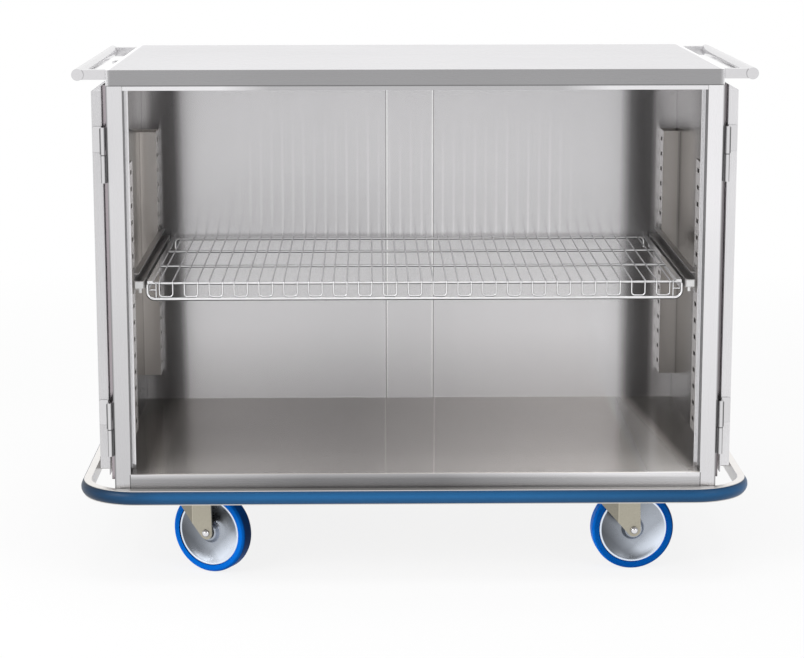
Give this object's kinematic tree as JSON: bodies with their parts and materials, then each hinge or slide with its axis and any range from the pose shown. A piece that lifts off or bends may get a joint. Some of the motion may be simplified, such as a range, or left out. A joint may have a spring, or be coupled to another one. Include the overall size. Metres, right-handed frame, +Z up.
{
  "type": "case cart",
  "caption": "Closed stainless case cart with folded-back double-wall doors, a sliding wire shelf, end push handles, a blue bumper loop and swivel casters.",
  "frame": {"origin": "on the ground under the middle of the cart", "axes": "+Z up, the open front faces -Y, +X to the right as seen from the front"},
  "size_m": [1.292, 0.72, 0.9795],
  "materials": {
    "steel": "stainless sheet, brushed along its length",
    "bright_steel": "bright satin stainless",
    "zinc_steel": "plain sheet steel, dull",
    "fork_steel": "passivated stamped steel, slightly green",
    "rim_steel": "bright pressed steel",
    "wire": "plated wire",
    "bumper_vinyl": "blue vinyl extrusion, satin",
    "tyre_blue": "bright blue elastic tread, smooth",
    "nylon": "white moulded nylon"
  },
  "bodies": {
    "cart": {"top_panel": "steel", "header_rail": "steel", "front_post_left": "steel", "front_post_right": "steel", "sills": "steel", "side_panel_left": "steel", "side_panel_right": "steel", "back_panel": "steel", "back_cover_strip": "steel", "floor_panel": "steel", "pilasters": "steel", "door_stops": "bright_steel", "bumper_channel": "steel", "bumper_insert": "bumper_vinyl", "base_rails": "zinc_steel", "cross_beams": "zinc_steel", "caster_channels": "zinc_steel", "push_handle_left": "bright_steel", "push_handle_right": "bright_steel", "handle_caps": "bright_steel", "frame_hinge_leaves": "bright_steel", "hinge_pins": "bright_steel", "hinge_screws": "bright_steel", "door_holders": "bright_steel", "slide_channel_left": "zinc_steel", "slide_channel_right": "zinc_steel", "caster_plates": "zinc_steel", "caster_bolts": "bright_steel"},
    "door_left": {"door_skin_left": "steel", "door_pan_left": "steel", "door_hinge_leaves_left": "bright_steel", "door_pull_left": "bright_steel", "door_screws_left": "zinc_steel"},
    "door_right": {"door_skin_right": "steel", "door_pan_right": "steel", "door_hinge_leaves_right": "bright_steel", "door_pull_right": "bright_steel", "door_screws_right": "zinc_steel"},
    "shelf": {"shelf_frame": "wire", "shelf_rods": "wire", "shelf_wires": "wire", "shelf_rails": "zinc_steel", "shelf_blocks": "nylon"},
    "swivel_fl": {"fork_fl": "fork_steel", "axle_fl": "bright_steel"},
    "wheel_fl": {"rim_fl": "rim_steel", "tyre_fl": "tyre_blue"},
    "swivel_fr": {"fork_fr": "fork_steel", "axle_fr": "bright_steel"},
    "wheel_fr": {"rim_fr": "rim_steel", "tyre_fr": "tyre_blue"},
    "swivel_rl": {"fork_rl": "fork_steel", "axle_rl": "bright_steel"},
    "wheel_rl": {"rim_rl": "rim_steel", "tyre_rl": "tyre_blue"},
    "swivel_rr": {"fork_rr": "fork_steel", "axle_rr": "bright_steel"},
    "wheel_rr": {"rim_rr": "rim_steel", "tyre_rr": "tyre_blue"}
  },
  "joints": [
    {"name": "door_left_hinge", "type": "hinge", "parent": "cart", "child": "door_left", "pos_m": [-0.578, -0.3365, 0.554], "axis": [0, 0, -1], "range_deg": [-270, 0]},
    {"name": "door_right_hinge", "type": "hinge", "parent": "cart", "child": "door_right", "pos_m": [0.578, -0.3365, 0.554], "axis": [0, 0, 1], "range_deg": [-270, 0]},
    {"name": "shelf_slide", "type": "slide", "parent": "cart", "child": "shelf", "axis": [0, -1, 0], "range_m": [0, 0.4]},
    {"name": "caster_fl_swivel", "type": "hinge", "parent": "cart", "child": "swivel_fl", "pos_m": [-0.407, -0.246, 0.184], "axis": [0, 0, 1], "continuous": true},
    {"name": "caster_fl_spin", "type": "hinge", "parent": "swivel_fl", "child": "wheel_fl", "pos_m": [-0.39287, -0.25351, 0.08], "axis": [0.4695, 0.8829, 0], "continuous": true},
    {"name": "caster_fr_swivel", "type": "hinge", "parent": "cart", "child": "swivel_fr", "pos_m": [0.407, -0.246, 0.184], "axis": [0, 0, 1], "continuous": true},
    {"name": "caster_fr_spin", "type": "hinge", "parent": "swivel_fr", "child": "wheel_fr", "pos_m": [0.42294, -0.24461, 0.08], "axis": [-0.0872, 0.9962, 0], "continuous": true},
    {"name": "caster_rl_swivel", "type": "hinge", "parent": "cart", "child": "swivel_rl", "pos_m": [-0.407, 0.246, 0.184], "axis": [0, 0, 1], "continuous": true},
    {"name": "caster_rl_spin", "type": "hinge", "parent": "swivel_rl", "child": "wheel_rl", "pos_m": [-0.391, 0.246, 0.08], "axis": [0, 1, 0], "continuous": true},
    {"name": "caster_rr_swivel", "type": "hinge", "parent": "cart", "child": "swivel_rr", "pos_m": [0.407, 0.246, 0.184], "axis": [0, 0, 1], "continuous": true},
    {"name": "caster_rr_spin", "type": "hinge", "parent": "swivel_rr", "child": "wheel_rr", "pos_m": [0.423, 0.246, 0.08], "axis": [0, 1, 0], "continuous": true}
  ]
}
